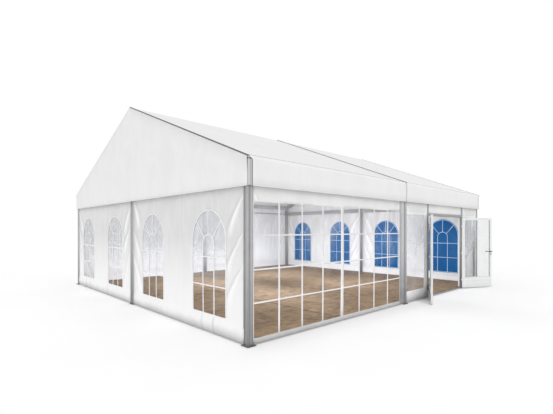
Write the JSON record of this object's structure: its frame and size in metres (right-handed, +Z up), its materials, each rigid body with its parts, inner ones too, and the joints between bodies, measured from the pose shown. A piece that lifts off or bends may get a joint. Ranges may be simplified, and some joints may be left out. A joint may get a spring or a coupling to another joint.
{
  "type": "marquee tent",
  "caption": "Rectangular marquee tent with an aluminium frame, white coated-fabric roof and walls, arched and panorama windows, a glazed double door and a timber floor deck.",
  "frame": {"origin": "on the ground under the middle of the tent, on the underside of the floor deck", "axes": "+X along the ridge towards the gable with the blue windows, -Y towards the long side with the door and the panorama window, +Z up"},
  "size_m": [9.16, 8.6591, 4.3779],
  "materials": {
    "frame_aluminium": "mill-finished extrusions with grooves",
    "cover_pvc": "white coated polyester, satin",
    "wall_pvc": "white coated polyester, satin",
    "clear_film": "clear glossy film",
    "blue_film": "blue-tinted glossy film",
    "door_white": "white powder coat",
    "door_glass": "clear polished",
    "handle_steel": "brushed",
    "floor_wood": "brown film-faced boards"
  },
  "bodies": {
    "tent": {"door_frame": "frame_aluminium", "door_side_film_left": "clear_film", "door_side_film_right": "clear_film", "door_side_wall_left": "wall_pvc", "door_side_wall_right": "wall_pvc", "eave_purlin_far_front": "frame_aluminium", "eave_purlin_far_rear": "frame_aluminium", "eave_purlin_near_front": "frame_aluminium", "eave_purlin_near_rear": "frame_aluminium", "floor_deck": "floor_wood", "gable_beam_far_front": "frame_aluminium", "gable_beam_far_rear": "frame_aluminium", "gable_beam_near_front": "frame_aluminium", "gable_beam_near_rear": "frame_aluminium", "gable_cover_far": "cover_pvc", "gable_cover_near": "cover_pvc", "gable_film_far_front": "blue_film", "gable_film_far_rear": "blue_film", "gable_film_near_front": "clear_film", "gable_film_near_rear": "clear_film", "gable_post_far": "frame_aluminium", "gable_post_near": "frame_aluminium", "gable_wall_far_front": "wall_pvc", "gable_wall_far_rear": "wall_pvc", "gable_wall_near_front": "wall_pvc", "gable_wall_near_rear": "wall_pvc", "panorama_film": "clear_film", "panorama_wall": "wall_pvc", "post_far_front": "frame_aluminium", "post_far_rear": "frame_aluminium", "post_middle_front": "frame_aluminium", "post_middle_rear": "frame_aluminium", "post_near_front": "frame_aluminium", "post_near_rear": "frame_aluminium", "rafter_far_front": "frame_aluminium", "rafter_far_rear": "frame_aluminium", "rafter_middle_front": "frame_aluminium", "rafter_middle_rear": "frame_aluminium", "rafter_near_front": "frame_aluminium", "rafter_near_rear": "frame_aluminium", "rear_wall_far": "wall_pvc", "rear_wall_near": "wall_pvc", "ridge_purlin_far": "frame_aluminium", "ridge_purlin_near": "frame_aluminium", "roof_cover_far": "cover_pvc", "roof_cover_near": "cover_pvc", "transom_panel": "wall_pvc"},
    "left_leaf": {"door_leaf_left": "door_white", "door_glass_left": "door_glass"},
    "right_leaf": {"door_leaf_right": "door_white", "door_glass_right": "door_glass", "door_handle": "handle_steel"}
  },
  "joints": [
    {"name": "left_leaf_hinge", "type": "hinge", "parent": "tent", "child": "left_leaf", "pos_m": [1.214, -4.052, 1], "axis": [0, 0, 1], "range_deg": [-15, 155]},
    {"name": "right_leaf_hinge", "type": "hinge", "parent": "tent", "child": "right_leaf", "pos_m": [3.286, -4.052, 1], "axis": [0, 0, -1], "range_deg": [-15, 155]}
  ]
}
